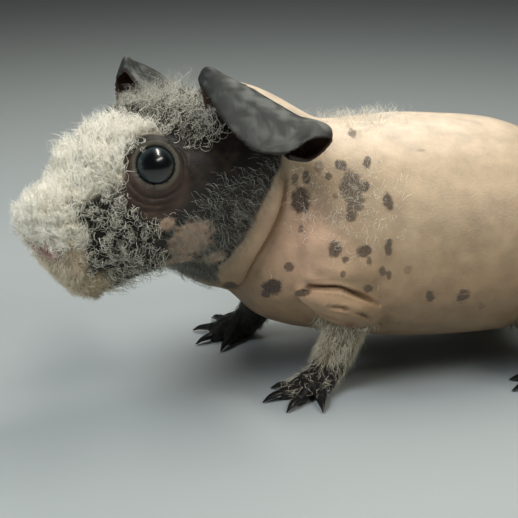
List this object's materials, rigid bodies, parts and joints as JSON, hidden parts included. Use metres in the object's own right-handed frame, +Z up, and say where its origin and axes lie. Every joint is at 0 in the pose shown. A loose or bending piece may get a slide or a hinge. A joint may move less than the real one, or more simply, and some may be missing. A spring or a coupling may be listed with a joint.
{
  "type": "skinny guinea pig model",
  "caption": "Life-size still model of a young, nearly hairless guinea pig standing with its head raised and turned to its left.",
  "frame": {"origin": "centre of the model's bounding box, on the floor it stands on", "axes": "+Z up, -X forward along the body towards the head, -Y to the animal's left, the side that the picture shows"},
  "size_m": [0.1636, 0.074, 0.0903],
  "materials": {
    "body_skin": "matte cream skin with dark spots",
    "head_skin": "dark skin with pale woolly fuzz",
    "ear_skin": "matte slate grey skin",
    "foot_skin": "matte black skin",
    "eye": "wet, glossy dark eye",
    "claw": "dark horn with a dull sheen"
  },
  "bodies": {
    "root": {"torso": "body_skin", "neck": "body_skin", "head": "head_skin", "ear_left": "ear_skin", "ear_right": "ear_skin", "eye_left": "eye", "eye_right": "eye", "foreleg_left": "body_skin", "foreleg_right": "body_skin", "forefoot_left": "foot_skin", "forefoot_right": "foot_skin", "hindleg_left": "body_skin", "hindleg_right": "body_skin", "hindfoot_left": "foot_skin", "hindfoot_right": "foot_skin", "claw_fore_left_1": "claw", "claw_fore_left_2": "claw", "claw_fore_left_3": "claw", "claw_fore_left_4": "claw", "claw_fore_right_1": "claw", "claw_fore_right_2": "claw", "claw_fore_right_3": "claw", "claw_fore_right_4": "claw", "claw_hind_left_1": "claw", "claw_hind_left_2": "claw", "claw_hind_left_3": "claw", "claw_hind_right_1": "claw", "claw_hind_right_2": "claw", "claw_hind_right_3": "claw"}
  },
  "joints": []
}
